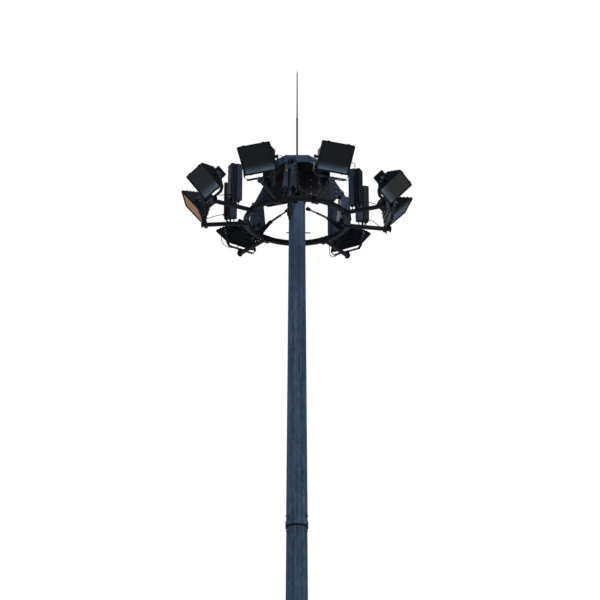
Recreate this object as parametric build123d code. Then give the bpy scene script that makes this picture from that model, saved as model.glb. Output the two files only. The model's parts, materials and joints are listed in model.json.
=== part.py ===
from build123d import *
import math
import os

# A lowering high mast: a tapered pole with a fixed head and hood, and a carriage ring with
# eight square floodlights that a winch lowers down the pole on three ropes.
# Millimetres, +Z up, standing on the centre of the base flange. Azimuths are degrees from the
# front (-Y) towards +X.

os.makedirs("parts", exist_ok=True)

# ---------------------------------------------------------------- driving dimensions
RING_Z = 18600.0  # height of the carriage ring's centreline, docked
MAST_TOP = RING_Z + 600.0
MAST_TOP_APOTHEM = 143.0  # half the width across the flats at the top
TAPER = 0.0062  # growth of the apothem per millimetre of height
SIDES = 12
WALL_UPPER = 5.0
WALL_MIDDLE = 6.0
WALL_LOWER = 8.0
JOINT_UPPER = 12900.0  # lower end of the upper section
JOINT_LOWER = 6500.0  # lower end of the middle section
SLIP = 620.0  # overlap at each slip joint
COLLAR_HEIGHT = 70.0
COLLAR_PROUD = 11.0

FLANGE_R = 425.0
FLANGE_T = 32.0
ANCHOR_PCD = 720.0
ANCHOR_HOLE_R = 17.0
ANCHORS = 12
GUSSET_HEIGHT = 240.0
GUSSET_T = 12.0

DOOR_AZIMUTH = 60.0
DOOR_LOW = 640.0
DOOR_HEIGHT = 900.0
DOOR_WIDTH = 200.0
DOOR_FRAME = 36.0
DOOR_T = 6.0

RING_R = 910.0
HEAD_AZIMUTHS = (-8.0, 112.0, -128.0)
TRUNK_WALL = 8.0
TRUNK_LOW = RING_Z + 350.0
HEAD_TOP = RING_Z + 930.0  # top edge of the head arms and lower edge of the hood
ARM_FLAT = 700.0  # where the level top of a head arm ends
ARM_REACH = RING_R + 5.0
ARM_PAD = 125.0  # length of the level underside at the end, over the docking guide
ARM_HEEL = 190.0
ARM_ROOT_DROP = 200.0  # how far the underside falls from its end to the trunk
ARM_END_Z = RING_Z + 645.0
ARM_FOOT_Z = RING_Z + 632.0
HEAD_ARM_WIDTH = 140.0
HEAD_PLATE = 8.0
SHEAVE_R = 75.0  # radius of the rope's centreline on the sheave
SHEAVE_Z = RING_Z + 708.0
SHEAVE_SLOT = 90.0
ROPE_R = 5.0
GUIDE_LOW = RING_Z + 150.0

HOOD_R = 540.0  # across the corners at the lower edge
HOOD_RIM = 150.0
HOOD_RISE = 115.0
HOOD_T = 5.0
ROD_STEP = 900.0  # height of the rod's thicker lower length above the hood
ROD_TIP = RING_Z + 3090.0

RING_TUBE = 50.0
TUBE_WALL = 5.0
POST_HEIGHT = 500.0
POST_POINT = 60.0
LAMP_ARM_R = 39.0
PIVOT_R = 1740.0
LAMP_ARM_END = PIVOT_R - 40.0
PEG_TOP = 120.0
# azimuth, tilt below the horizon, and how far the gear box stands in from the tilt axis
LAMPS = (
    (-21.5, 46.0, 420.0),
    (-61.0, 47.5, 490.0),
    (-95.0, 40.0, 540.0),
    (-142.0, 45.0, 560.0),
    (147.0, 45.0, 500.0),
    (101.0, 45.0, 545.0),
    (68.0, 52.0, 620.0),
    (20.5, 41.0, 420.0),
)

GEAR_ACROSS = 165.0
GEAR_OUT = 225.0
GEAR_HEIGHT = 680.0
GEAR_SPLIT = 6.0  # where the cover meets the channel behind it, inwards of the box's middle
CHANNEL_ACROSS = 140.0
SHEET = 4.0

LAMP_W = 610.0
LAMP_H = 530.0
FRAME_T = 32.0
BODY_DEPTH = 250.0
BACK_W = 380.0
BACK_H = 230.0
REAR_DEPTH = 420.0
REAR_SIZE = 200.0
SKIN = 4.0
GLASS_T = 5.0
CORNER_R = 26.0
RIB_PROUD = 11.0
RIB_T = 5.0
RIB_PITCH = 36.0
PIVOT_UP = 385.0
PIVOT_BEHIND = 144.0  # the tilt axis, behind the glass and below its centre
PIVOT_BELOW = 60.0
YOKE_INSIDE = 315.0
YOKE_T = 8.0
YOKE_LOW = 62.0
YOKE_FOOT = 268.0  # half the straight part of the yoke's bar, before it bends outwards
LEAD_R = 6.0
LOOP_OUT = 97.0  # how far a lamp's lead stands off its yoke beside the tilt axis
FIT = 0.3  # running gap of a turning face on its seat

GUIDE_PIVOT_R = 600.0
GUIDE_PIVOT_UP = 170.0
GUIDE_TIP_R = 205.0
GUIDE_TIP_UP = 285.0
ROLLER_R = 30.0
BAR_Z = RING_Z - 230.0  # a stay bar through the pole, below the docked carriage


# ---------------------------------------------------------------- frames and outlines
def station(azimuth):
    """The frame at an azimuth: X runs outwards, Y round the mast, Z up from the ground."""
    a = math.radians(azimuth)
    return Plane(origin=(0, 0, 0), x_dir=(math.sin(a), -math.cos(a), 0), z_dir=(0, 0, 1)).location


def upright(points, width):
    """A plate on edge: a closed outline of (out, up) points, given its width across."""
    face = Face(Wire.make_polygon([(x, 0, z) for x, z in points], close=True))
    return extrude(face, amount=width / 2, both=True)


def across(radius, length):
    """A round bar lying across the radius, centred on the origin."""
    return Rot(90, 0, 0) * Cylinder(radius, length)


def outwards(radius, start, end):
    """A round bar along the radius from start to end."""
    bar = Cylinder(radius, end - start, align=(Align.CENTER, Align.CENTER, Align.MIN))
    return Pos(start, 0, 0) * Rot(0, 90, 0) * Rot(0, 0, 45) * bar


def post(radius, low, high):
    """A round bar standing between two heights."""
    return Pos(0, 0, low) * Cylinder(radius, high - low, align=(Align.CENTER, Align.CENTER, Align.MIN))


def frustum(low, high, size_low, size_high, middle_low=0.0, middle_high=0.0):
    """A rectangular body between two heights, tapering from one size to the other."""
    lower = Pos(0, middle_low, low) * Rectangle(*size_low)
    upper = Pos(0, middle_high, high) * Rectangle(*size_high)
    return loft([lower, upper], ruled=True)


def twelve(apothem):
    return RegularPolygon(apothem, SIDES, major_radius=False, rotation=180 / SIDES)


def tapered(low, high, apothem_low, apothem_high):
    """A solid twelve-sided tapered pole between two heights."""
    return loft([Pos(0, 0, low) * twelve(apothem_low), Pos(0, 0, high) * twelve(apothem_high)], ruled=True)


def apothem(z, inside=0.0):
    """Half the width across the flats of the upper section's outer face, carried on at any height."""
    return MAST_TOP_APOTHEM + TAPER * (MAST_TOP - z) - inside


def section(low, high, inside, wall, collar):
    """One tapered section; inside is how far its outer face lies within the upper section's."""
    body = tapered(low, high, apothem(low, inside), apothem(high, inside))
    if collar:
        rim = low + COLLAR_HEIGHT
        body += tapered(low, rim, apothem(low, inside) + COLLAR_PROUD, apothem(rim, inside) + COLLAR_PROUD)
    bore = tapered(low, high, apothem(low, inside + wall), apothem(high, inside + wall))
    return body - bore


nodes = {}

# ---------------------------------------------------------------- mast
in_middle = WALL_UPPER
in_lower = WALL_UPPER + WALL_MIDDLE
upper = section(JOINT_UPPER, MAST_TOP, 0.0, WALL_UPPER, True)
middle = section(JOINT_LOWER, JOINT_UPPER + SLIP, in_middle, WALL_MIDDLE, True)
lower = section(FLANGE_T, JOINT_LOWER + SLIP, in_lower, WALL_LOWER, False)

door_frame_low = DOOR_LOW - DOOR_FRAME
door_frame_high = DOOR_LOW + DOOR_HEIGHT + DOOR_FRAME
frame_across = DOOR_WIDTH + 2 * DOOR_FRAME
frame_face = apothem(door_frame_low, in_lower) + 22.0
frame_depth = 75.0
frame_tall = door_frame_high - door_frame_low
door_mid = (door_frame_low + door_frame_high) / 2
at_door = station(DOOR_AZIMUTH)
frame_block = at_door * Pos(frame_face - frame_depth / 2, 0, door_mid) * Box(frame_depth, frame_across, frame_tall)
door_hole = at_door * Pos(frame_face - frame_depth / 2, 0, door_mid) * Box(
    frame_depth + 20, DOOR_WIDTH, DOOR_HEIGHT
)
bar = Pos(25, 0, BAR_Z) * Rot(0, 90, 0) * Cylinder(10, 430)
nodes["stay_bar"] = bar
nodes["mast_lower_section"] = lower - frame_block
nodes["mast_middle_section"] = middle
nodes["mast_upper_section"] = upper - bar
nodes["door_frame"] = frame_block - door_hole
nodes["door_leaf"] = (
    at_door
    * Pos(frame_face + DOOR_T / 2, 0, door_mid)
    * Box(DOOR_T, DOOR_WIDTH + DOOR_FRAME, DOOR_HEIGHT + DOOR_FRAME)
)

flange = post(FLANGE_R, 0, FLANGE_T)
for i in range(ANCHORS):
    hole = station((i + 0.5) * 360 / ANCHORS) * Pos(ANCHOR_PCD / 2, 0, 0)
    flange -= hole * post(ANCHOR_HOLE_R, -1, FLANGE_T + 1)
nodes["base_flange"] = flange

foot_top = FLANGE_T + 2 * GUSSET_HEIGHT
pole_foot = tapered(0, foot_top, apothem(0, in_lower), apothem(foot_top, in_lower))
gussets = []
gusset_out = FLANGE_R - 15.0
for i in range(ANCHORS):
    outline = [
        (150, FLANGE_T),
        (gusset_out, FLANGE_T),
        (gusset_out, FLANGE_T + 25),
        (apothem(0, in_lower) + 12, FLANGE_T + GUSSET_HEIGHT),
        (150, FLANGE_T + GUSSET_HEIGHT),
    ]
    gussets += (station(i * 360 / ANCHORS) * upright(outline, GUSSET_T) - pole_foot).solids()
nodes["base_gussets"] = Compound(children=gussets)

# ---------------------------------------------------------------- fixed head
trunk_top = HEAD_TOP + 70.0
trunk = tapered(
    TRUNK_LOW, trunk_top, apothem(TRUNK_LOW) + TRUNK_WALL, apothem(trunk_top) + TRUNK_WALL
)
trunk_outer = trunk
trunk -= tapered(TRUNK_LOW, trunk_top - 12, apothem(TRUNK_LOW), apothem(trunk_top - 12))
nodes["head_trunk"] = trunk

arm_outline = [
    (60, HEAD_TOP),
    (ARM_FLAT, HEAD_TOP),
    (ARM_REACH, ARM_END_Z),
    (ARM_REACH, ARM_FOOT_Z),
    (ARM_REACH - ARM_PAD, ARM_FOOT_Z),
    (ARM_REACH - ARM_HEEL, ARM_FOOT_Z - ARM_ROOT_DROP / 2),
    (60, ARM_FOOT_Z - ARM_ROOT_DROP),
]
hollow_outline = [(x - HEAD_PLATE, z - HEAD_PLATE) for x, z in arm_outline]
slot_outline = [
    (ARM_FLAT + 40, ARM_FOOT_Z - 60),
    (ARM_REACH + 90, ARM_FOOT_Z - 60),
    (ARM_REACH + 90, HEAD_TOP),
    (ARM_FLAT + 40, HEAD_TOP),
]
sheave_at = RING_R - SHEAVE_R
guide_top = ARM_FOOT_Z
arms, guides, sheaves, ropes = [], [], [], []
for azimuth in HEAD_AZIMUTHS:
    here = station(azimuth)
    arm = upright(arm_outline, HEAD_ARM_WIDTH) - upright(hollow_outline, HEAD_ARM_WIDTH - 2 * HEAD_PLATE)
    arm -= upright(slot_outline, SHEAVE_SLOT)
    arms += (here * arm - trunk_outer).solids()

    cheek = HEAD_ARM_WIDTH / 2 - HEAD_PLATE
    wheel = across(SHEAVE_R + 6, 34) - (across(SHEAVE_R + 20, 13) - across(SHEAVE_R - ROPE_R, 13))
    wheel += across(13, 2 * cheek)
    sheaves += (here * Pos(sheave_at, 0, SHEAVE_Z) * wheel).solids()

    # the flared guide that the carriage's post rises into
    low, high = GUIDE_LOW, guide_top - HEAD_PLATE
    shell = frustum(low, high, (200, 240), (150, 160)) - frustum(low, high, (188, 228), (138, 148))
    shell -= Pos(90, 0, low + 190) * Box(90, 52, 420)
    for side in (-1, 1):
        notch = Face(Wire.make_polygon([(0, side * 70 - 46, low), (0, side * 70 + 46, low), (0, side * 70, low + 62)], close=True))
        shell -= extrude(notch, amount=300, both=True)
    collar = Pos(0, 0, guide_top - HEAD_PLATE / 2) * Box(150, 160, HEAD_PLATE)
    collar -= Pos(-15, 0, 0) * frustum(guide_top - 20, guide_top + 20, (130, 46), (130, 46))
    guides += (here * Pos(RING_R, 0, 0) * (shell + collar)).solids()

    ropes.append(here * Pos(RING_R, 0, 0) * post(ROPE_R, RING_Z + POST_HEIGHT + POST_POINT, SHEAVE_Z))
nodes["head_arms"] = Compound(children=arms)
nodes["docking_guides"] = Compound(children=guides)
nodes["rope_sheaves"] = Compound(children=sheaves)
nodes["suspension_ropes"] = Compound(children=ropes)


def octagon(z, radius):
    return Pos(0, 0, z) * RegularPolygon(radius, 8, rotation=22.5)


hood_rim_z = HEAD_TOP + HOOD_RIM
hood_top = hood_rim_z + HOOD_RISE


def hood_body(inset):
    lip = 18.0
    rim = loft([octagon(HEAD_TOP, HOOD_R - inset), octagon(HEAD_TOP + 30, HOOD_R - lip - inset)], ruled=True)
    rim += loft([octagon(HEAD_TOP + 30, HOOD_R - lip - inset), octagon(hood_rim_z - inset, HOOD_R - lip - inset)], ruled=True)
    roof = loft([octagon(hood_rim_z - inset, HOOD_R - lip - inset), octagon(hood_top - inset, 60)], ruled=True)
    return rim + roof


# the flat pan that closes the hood from below, round the trunk
pan_t = 5.0
pan = Pos(0, 0, HEAD_TOP) * extrude(RegularPolygon(HOOD_R - HOOD_T - 4, 8, rotation=22.5), pan_t)
trunk_there = apothem(HEAD_TOP) + TRUNK_WALL + FIT
nodes["hood_soffit"] = pan - tapered(HEAD_TOP - pan_t, HEAD_TOP + 2 * pan_t, trunk_there, trunk_there)

rod_socket = 24.0
nodes["hood"] = hood_body(0) - hood_body(HOOD_T) - post(rod_socket, HEAD_TOP, hood_top + 10)
rod = post(rod_socket, trunk_top, hood_top + 60)
rod += post(16, hood_top + 60, hood_top + ROD_STEP)
spike = ROD_TIP - hood_top - ROD_STEP
rod += Pos(0, 0, hood_top + ROD_STEP) * Cone(12, 9, spike - 70, align=(Align.CENTER, Align.CENTER, Align.MIN))
rod += Pos(0, 0, ROD_TIP - 70) * Cone(9, 2, 70, align=(Align.CENTER, Align.CENTER, Align.MIN))
nodes["lightning_rod"] = rod

# ---------------------------------------------------------------- carriage ring
def hoop(radius):
    """A round bar bent into the carriage's circle."""
    return Pos(0, 0, RING_Z) * Torus(RING_R, radius)


ring = hoop(RING_TUBE)
lug_gap = 18.0
lug_t = 9.0
for azimuth in HEAD_AZIMUTHS:
    here = station(azimuth)
    bracket = [
        (RING_R - 30, -30),
        (RING_R - 30, 30),
        (GUIDE_PIVOT_R + 12, GUIDE_PIVOT_UP + 24),
        (GUIDE_PIVOT_R - 22, GUIDE_PIVOT_UP + 18),
        (GUIDE_PIVOT_R - 22, GUIDE_PIVOT_UP - 18),
        (GUIDE_PIVOT_R + 40, GUIDE_PIVOT_UP - 42),
        (RING_R - 90, -10),
    ]
    for side in (-1, 1):
        ring += here * Pos(0, side * (lug_gap + lug_t / 2), RING_Z) * upright(bracket, lug_t)
    ring += here * Pos(GUIDE_PIVOT_R, 0, RING_Z + GUIDE_PIVOT_UP) * across(9, 2 * (lug_gap + lug_t))
ring -= station(45) * Pos(RING_R, 0, RING_Z) * post(6, -RING_TUBE - 5, 0)
nodes["carriage_ring"] = ring - hoop(RING_TUBE - TUBE_WALL)

posts = []
for azimuth in HEAD_AZIMUTHS:
    stem = post(30, RING_Z, RING_Z + POST_HEIGHT)
    stem += Pos(0, 0, RING_Z + POST_HEIGHT) * Cone(30, 9, POST_POINT, align=(Align.CENTER, Align.CENTER, Align.MIN))
    stem += post(40, RING_Z, RING_Z + 62)
    posts += (station(azimuth) * Pos(RING_R, 0, 0) * stem - hoop(RING_TUBE)).solids()
nodes["docking_posts"] = Compound(children=posts)

plug_outline = [(0, 0), (30, 0), (30, -70), (36, -78), (50, -300), (50, -326), (34, -340), (20, -400), (0, -410)]
plug = revolve(Face(Wire.make_polygon([(x, 0, RING_Z + z) for x, z in plug_outline], close=True)), Axis.Z)
nodes["supply_plug"] = station(HEAD_AZIMUTHS[0]) * Pos(RING_R, 0, 0) * plug - hoop(RING_TUBE)

# ---------------------------------------------------------------- lamp arms, yokes, gear boxes, leads
# A gear box is a pressed cover in two halves, closed onto a lighter channel that stands behind it.
cover_depth = GEAR_OUT / 2 + GEAR_SPLIT
cover_mid = GEAR_OUT / 2 - cover_depth / 2


def cover(shrink, low, high):
    """The cover's rounded body between two heights."""
    outline = RectangleRounded(cover_depth - 2 * shrink, GEAR_ACROSS - 2 * shrink, 22 - shrink)
    return Pos(cover_mid, 0, low) * extrude(outline, high - low)


half = GEAR_HEIGHT / 2
gear_hole_t = 40.0
gear_cover = cover(0, 0, half - 4) + cover(3, half - 5, half + 5) + cover(0, half + 4, GEAR_HEIGHT)
gear_cover = chamfer(gear_cover.faces().sort_by(Axis.Z)[-1].edges(), 12)
gear_cover -= cover(SHEET + 3, SHEET + 4, GEAR_HEIGHT - 2 * SHEET - 10)
gear_cover -= Pos(50, -gear_hole_t, 0) * post(8, -1, 20)
gland_t = 45.0
gland_up = 42.0
gear_cover += Pos(0, gland_t, gland_up) * outwards(13, GEAR_OUT / 2 - 8, GEAR_OUT / 2 + 20)
channel_depth = GEAR_OUT - cover_depth
channel_mid = -GEAR_OUT / 2 + channel_depth / 2
channel_tall = GEAR_HEIGHT + 14
gear_channel = Pos(channel_mid, 0, channel_tall / 2) * Box(channel_depth, CHANNEL_ACROSS, channel_tall)
gear_channel = chamfer(gear_channel.edges().filter_by(Axis.Z).group_by(Axis.X)[0], 10)
gear_channel -= Pos(channel_mid + SHEET, 0, channel_tall / 2) * Box(
    channel_depth, CHANNEL_ACROSS - 2 * SHEET, channel_tall - 2 * SHEET
)
gear_channel += Pos(channel_mid, 0, channel_tall - 1) * post(9, 0, 26)


def cord_path(points):
    """Straight runs joined by arcs that touch both runs, each as wide as 0.45 of the shorter run allows."""
    vertices = [Vector(*p) for p in points]
    edges, radii, start = [], [], vertices[0]
    for before, corner, after in zip(vertices, vertices[1:], vertices[2:]):
        back, on = before - corner, after - corner
        half_turn = math.radians(180 - back.get_angle(on)) / 2
        trim = 0.45 * min(back.length, on.length)
        radius = trim / math.tan(half_turn)
        towards = (back.normalized() + on.normalized()).normalized()
        arc_from = corner + back.normalized() * trim
        arc_to = corner + on.normalized() * trim
        middle = corner + towards * (radius / math.cos(half_turn) - radius)
        edges += [Line(start, arc_from), ThreePointArc(arc_from, middle, arc_to)]
        radii.append(round(radius))
        start = arc_to
    edges.append(Line(start, vertices[-1]))
    print("cord radii in mm:", radii, "for a cord", 2 * LEAD_R, "across")
    return Wire([edge.edge() if hasattr(edge, "edge") else edge for edge in edges])


lamp_arms, yokes, gear_boxes, channels, leads = [], [], [], [], []
for azimuth, tilt, set_in in LAMPS:
    here = station(azimuth) * Pos(0, 0, RING_Z)
    gear_r = PIVOT_R - set_in
    arm = outwards(LAMP_ARM_R, RING_R, LAMP_ARM_END)
    arm += outwards(55, LAMP_ARM_END, LAMP_ARM_END + 10)
    arm += Pos(LAMP_ARM_END - 40, 0, YOKE_LOW - 16) * Box(80, 100, 32)
    arm += Pos(gear_r, 0, 0) * post(17, 0, PEG_TOP)
    for step in (-66, 66):
        arm += Pos(gear_r + step, 0, 0) * post(9, 0, PEG_TOP - 26) + Pos(gear_r + step, 0, 0) * post(14, PEG_TOP - 28, PEG_TOP)
    arm -= outwards(LAMP_ARM_R - TUBE_WALL, RING_R + RING_TUBE + 12, LAMP_ARM_END - 100)
    arm -= Pos(LAMP_ARM_END - 120, 0, 0) * post(6, -LAMP_ARM_R - 5, 0)
    clamp = Pos(RING_R, 0, 0) * across(RING_TUBE + 10, 130)
    lamp_arms += (here * (arm + clamp) - hoop(RING_TUBE)).solids()

    bend = [
        (-YOKE_INSIDE - YOKE_T, 150),
        (-YOKE_INSIDE - YOKE_T, 132),
        (-YOKE_FOOT - 4, YOKE_LOW),
        (YOKE_FOOT + 4, YOKE_LOW),
        (YOKE_INSIDE + YOKE_T, 132),
        (YOKE_INSIDE + YOKE_T, 150),
        (YOKE_INSIDE, 150),
        (YOKE_INSIDE, 135),
        (YOKE_FOOT, YOKE_LOW + YOKE_T),
        (-YOKE_FOOT, YOKE_LOW + YOKE_T),
        (-YOKE_INSIDE, 135),
        (-YOKE_INSIDE, 150),
    ]
    bar_face = Face(Wire.make_polygon([(0, t, z) for t, z in bend], close=True))
    yoke = Pos(LAMP_ARM_END - 30, 0, 0) * extrude(bar_face, amount=30, both=True, dir=(1, 0, 0))
    for side in (-1, 1):
        leg = upright(
            [
                (LAMP_ARM_END - 60, 140),
                (LAMP_ARM_END, 140),
                (PIVOT_R + 31, PIVOT_UP - 8),
                (PIVOT_R - 31, PIVOT_UP + 8),
            ],
            YOKE_T,
        )
        leg += Pos(PIVOT_R, 0, PIVOT_UP) * across(32, YOKE_T)
        yoke += Pos(0, side * (YOKE_INSIDE + YOKE_T / 2), 0) * leg
    yokes += (here * yoke).solids()

    gear_boxes += (here * Pos(gear_r, 0, PEG_TOP) * gear_cover).solids()
    channels += (here * Pos(gear_r, 0, PEG_TOP) * gear_channel).solids()

    gland_r = gear_r + GEAR_OUT / 2 + 20
    loop_t = YOKE_INSIDE + YOKE_T + LOOP_OUT
    path = cord_path(
        [
            (gland_r, gland_t, PEG_TOP + gland_up),
            (gland_r + 70, gland_t, PEG_TOP + gland_up),
            (LAMP_ARM_END - 50, 150, YOKE_LOW - 34),
            (PIVOT_R - 5, loop_t - 25, YOKE_LOW + 4),
            (PIVOT_R, loop_t, PIVOT_UP),
            (PIVOT_R, YOKE_INSIDE + YOKE_T, PIVOT_UP),
        ]
    )
    lead = sweep(Plane(origin=path @ 0, z_dir=path % 0) * Circle(LEAD_R), path=path)
    leads += (here * lead).solids()
nodes["lamp_arms"] = Compound(children=lamp_arms)
nodes["lamp_yokes"] = Compound(children=yokes)
nodes["gear_boxes"] = Compound(children=gear_boxes)
nodes["gear_channels"] = Compound(children=channels)
nodes["lamp_leads"] = Compound(children=leads)

# ---------------------------------------------------------------- floodlights
# Each is built face up about the middle of its glass: X round the mast, Y towards its upper
# edge, Z along its aim; then it is tilted and set on its tilt axis.
rim_w = LAMP_W - 14
rim_h = LAMP_H - 14


def shell_body(skin):
    body = frustum(
        -BODY_DEPTH + skin,
        -FRAME_T,
        (BACK_W - 2 * skin, BACK_H - 2 * skin),
        (rim_w - 2 * skin, rim_h - 2 * skin),
        -30,
        0,
    )
    return body


housing = shell_body(0)
# cooling ribs run across the back from side to side, each standing proud of the sloping shell
back_top = -30 + BACK_H / 2
back_foot = -30 - BACK_H / 2
slope_x = (rim_w - BACK_W) / 2 / (BODY_DEPTH - FRAME_T)
rib_y = back_foot - RIB_PITCH * 2
while rib_y < rim_h / 2 - RIB_PITCH:
    if rib_y > back_top:
        share = (rim_h / 2 - rib_y) / (rim_h / 2 - back_top)
    elif rib_y < back_foot:
        share = (rib_y + rim_h / 2) / (rim_h / 2 + back_foot)
    else:
        share = 1.0
    crest = FRAME_T + share * (BODY_DEPTH - FRAME_T) + (RIB_PROUD if share == 1.0 else 1.7 * RIB_PROUD)
    foot_x = rim_w / 2 + RIB_PROUD * 0.4
    crest_x = foot_x - slope_x * (crest - FRAME_T) + RIB_PROUD * 0.4
    corners = [(-foot_x, -FRAME_T + 4), (foot_x, -FRAME_T + 4), (crest_x, -crest), (-crest_x, -crest)]
    housing += Pos(0, rib_y, 0) * upright(corners, RIB_T)
    rib_y += RIB_PITCH
housing += Pos(0, 0, -FRAME_T) * extrude(RectangleRounded(LAMP_W, LAMP_H, CORNER_R), FRAME_T - 5)
housing += Pos(0, 0, -6) * extrude(RectangleRounded(LAMP_W - 14, LAMP_H - 14, CORNER_R - 7), 6)
rear_mid = -(REAR_DEPTH + BODY_DEPTH) / 2 + 10
housing += Pos(0, -60, rear_mid) * Box(REAR_SIZE, REAR_SIZE, REAR_DEPTH - BODY_DEPTH + 20)
housing += Pos(0, -60, -REAR_DEPTH + 26) * Box(REAR_SIZE + 14, REAR_SIZE + 14, 8)
housing += Pos(0, -60, -BODY_DEPTH - 24) * Box(REAR_SIZE + 14, REAR_SIZE + 14, 8)
housing += Pos(0, -PIVOT_BELOW, -PIVOT_BEHIND) * Rot(0, 90, 0) * Cylinder(26, 2 * (YOKE_INSIDE - FIT))
for side_x in (-1, 1):
    for side_y in (-1, 1):
        housing += Pos(side_x * LAMP_W * 0.3, side_y * (LAMP_H / 2 + 1), -FRAME_T / 2 - 2) * Box(38, 12, FRAME_T)
housing -= shell_body(SKIN)
sight = 26.0  # width of the front frame
housing -= Pos(0, 0, -FRAME_T / 2) * Box(LAMP_W - 2 * sight, LAMP_H - 2 * sight, FRAME_T + 10)
glass_seat = 10.0
rebate = 8.0
glass = Pos(0, 0, -glass_seat - GLASS_T / 2) * Box(LAMP_W - 2 * sight + 2 * rebate, LAMP_H - 2 * sight + 2 * rebate, GLASS_T)
housing -= glass

for number, (azimuth, tilt, set_in) in enumerate(LAMPS, start=1):
    a = math.radians(tilt)
    pivot = station(azimuth) * Pos(PIVOT_R, 0, RING_Z + PIVOT_UP)
    turn = Plane(origin=(0, 0, 0), x_dir=(0, 1, 0), z_dir=(math.cos(a), 0, -math.sin(a))).location
    seat = pivot * turn * Pos(0, PIVOT_BELOW, PIVOT_BEHIND)
    nodes[f"lamp_{number}_housing"] = seat * housing
    nodes[f"lamp_{number}_glass"] = seat * glass

# ---------------------------------------------------------------- guide arms of the carriage
span = GUIDE_PIVOT_R - GUIDE_TIP_R
length = math.hypot(span, GUIDE_TIP_UP - GUIDE_PIVOT_UP)
rise = math.degrees(math.atan2(GUIDE_TIP_UP - GUIDE_PIVOT_UP, span))
for number, azimuth in enumerate(HEAD_AZIMUTHS, start=1):
    eye = across(19, 2 * (lug_gap - FIT)) + Pos(19, 0, 0) * Box(26, 2 * (lug_gap - FIT), 30)
    eye -= across(9 + FIT, 80)
    arm = eye + outwards(13, 30, length - 50) + Pos(length - 46, 0, 0) * Box(14, 56, 32)
    for side in (-1, 1):
        arm += Pos(length - 18, side * 26, 0) * Box(66, 6, 32)
    arm += Pos(length, 0, 0) * across(8, 66)
    roller = across(ROLLER_R, 44) - across(8 + FIT, 60)
    here = station(azimuth) * Pos(GUIDE_PIVOT_R, 0, RING_Z + GUIDE_PIVOT_UP) * Rot(0, 180 + rise, 0)
    nodes[f"guide_arm_{number}"] = Compound(children=[here * arm, here * Pos(length, 0, 0) * roller])

for name, shape in nodes.items():
    export_step(Compound(children=shape.solids()), f"parts/{name}.step")
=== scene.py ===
import json
import math

import bpy
import numpy as np
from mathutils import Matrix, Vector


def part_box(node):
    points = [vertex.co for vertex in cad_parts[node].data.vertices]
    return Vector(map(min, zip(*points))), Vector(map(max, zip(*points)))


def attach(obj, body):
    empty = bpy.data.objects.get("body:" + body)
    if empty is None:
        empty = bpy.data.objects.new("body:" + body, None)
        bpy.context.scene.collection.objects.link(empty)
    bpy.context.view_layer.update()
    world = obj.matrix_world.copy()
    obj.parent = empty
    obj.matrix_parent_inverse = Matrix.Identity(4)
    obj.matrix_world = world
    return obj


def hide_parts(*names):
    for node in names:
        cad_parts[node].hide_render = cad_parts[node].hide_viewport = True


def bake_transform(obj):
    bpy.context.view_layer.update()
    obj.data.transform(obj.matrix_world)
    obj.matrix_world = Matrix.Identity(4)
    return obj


# A lowering high mast for yards and junctions: a tapered pole with a fixed head under a hood, and
# a carriage ring of eight square floodlights hung on three ropes. The sections below follow the
# mast as it is put up: view, pole, head, ropes, carriage, gear boxes, floodlights and guide arms.
# Lengths are in metres and angles in degrees. An azimuth runs from the front towards the right.

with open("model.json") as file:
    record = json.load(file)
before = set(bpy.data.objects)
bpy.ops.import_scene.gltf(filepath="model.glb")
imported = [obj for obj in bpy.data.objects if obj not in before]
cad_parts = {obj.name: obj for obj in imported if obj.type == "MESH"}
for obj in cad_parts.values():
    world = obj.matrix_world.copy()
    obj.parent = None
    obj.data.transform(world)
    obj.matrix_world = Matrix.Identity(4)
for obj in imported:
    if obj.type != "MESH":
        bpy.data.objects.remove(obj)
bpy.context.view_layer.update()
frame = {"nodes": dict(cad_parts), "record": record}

# ---------------------------------------------------------------------------------------------
# The view, the light and the ground
# A person's eye height on level ground, some 34 m off, looking up at the head; an even studio
# light, a soft sun over the right shoulder, a fainter one from behind on the left, a pale floor.

EYE_HEIGHT, DISTANCE = 1.6, 34.4
LOOK_UP, LOOK_ASIDE = 24.2, -0.088
camera_data = bpy.data.cameras.new("view")
camera_data.sensor_width = 36.0
camera_data.lens = 129.0
camera_data.clip_end = 400.0
camera = bpy.data.objects.new("view", camera_data)
camera.location = (0.0, -DISTANCE, EYE_HEIGHT)
camera.rotation_euler = (math.radians(90.0 + LOOK_UP), 0.0, math.radians(LOOK_ASIDE))
bpy.context.scene.collection.objects.link(camera)
bpy.context.scene.camera = camera
bpy.context.scene.view_settings.view_transform = "Standard"


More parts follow.
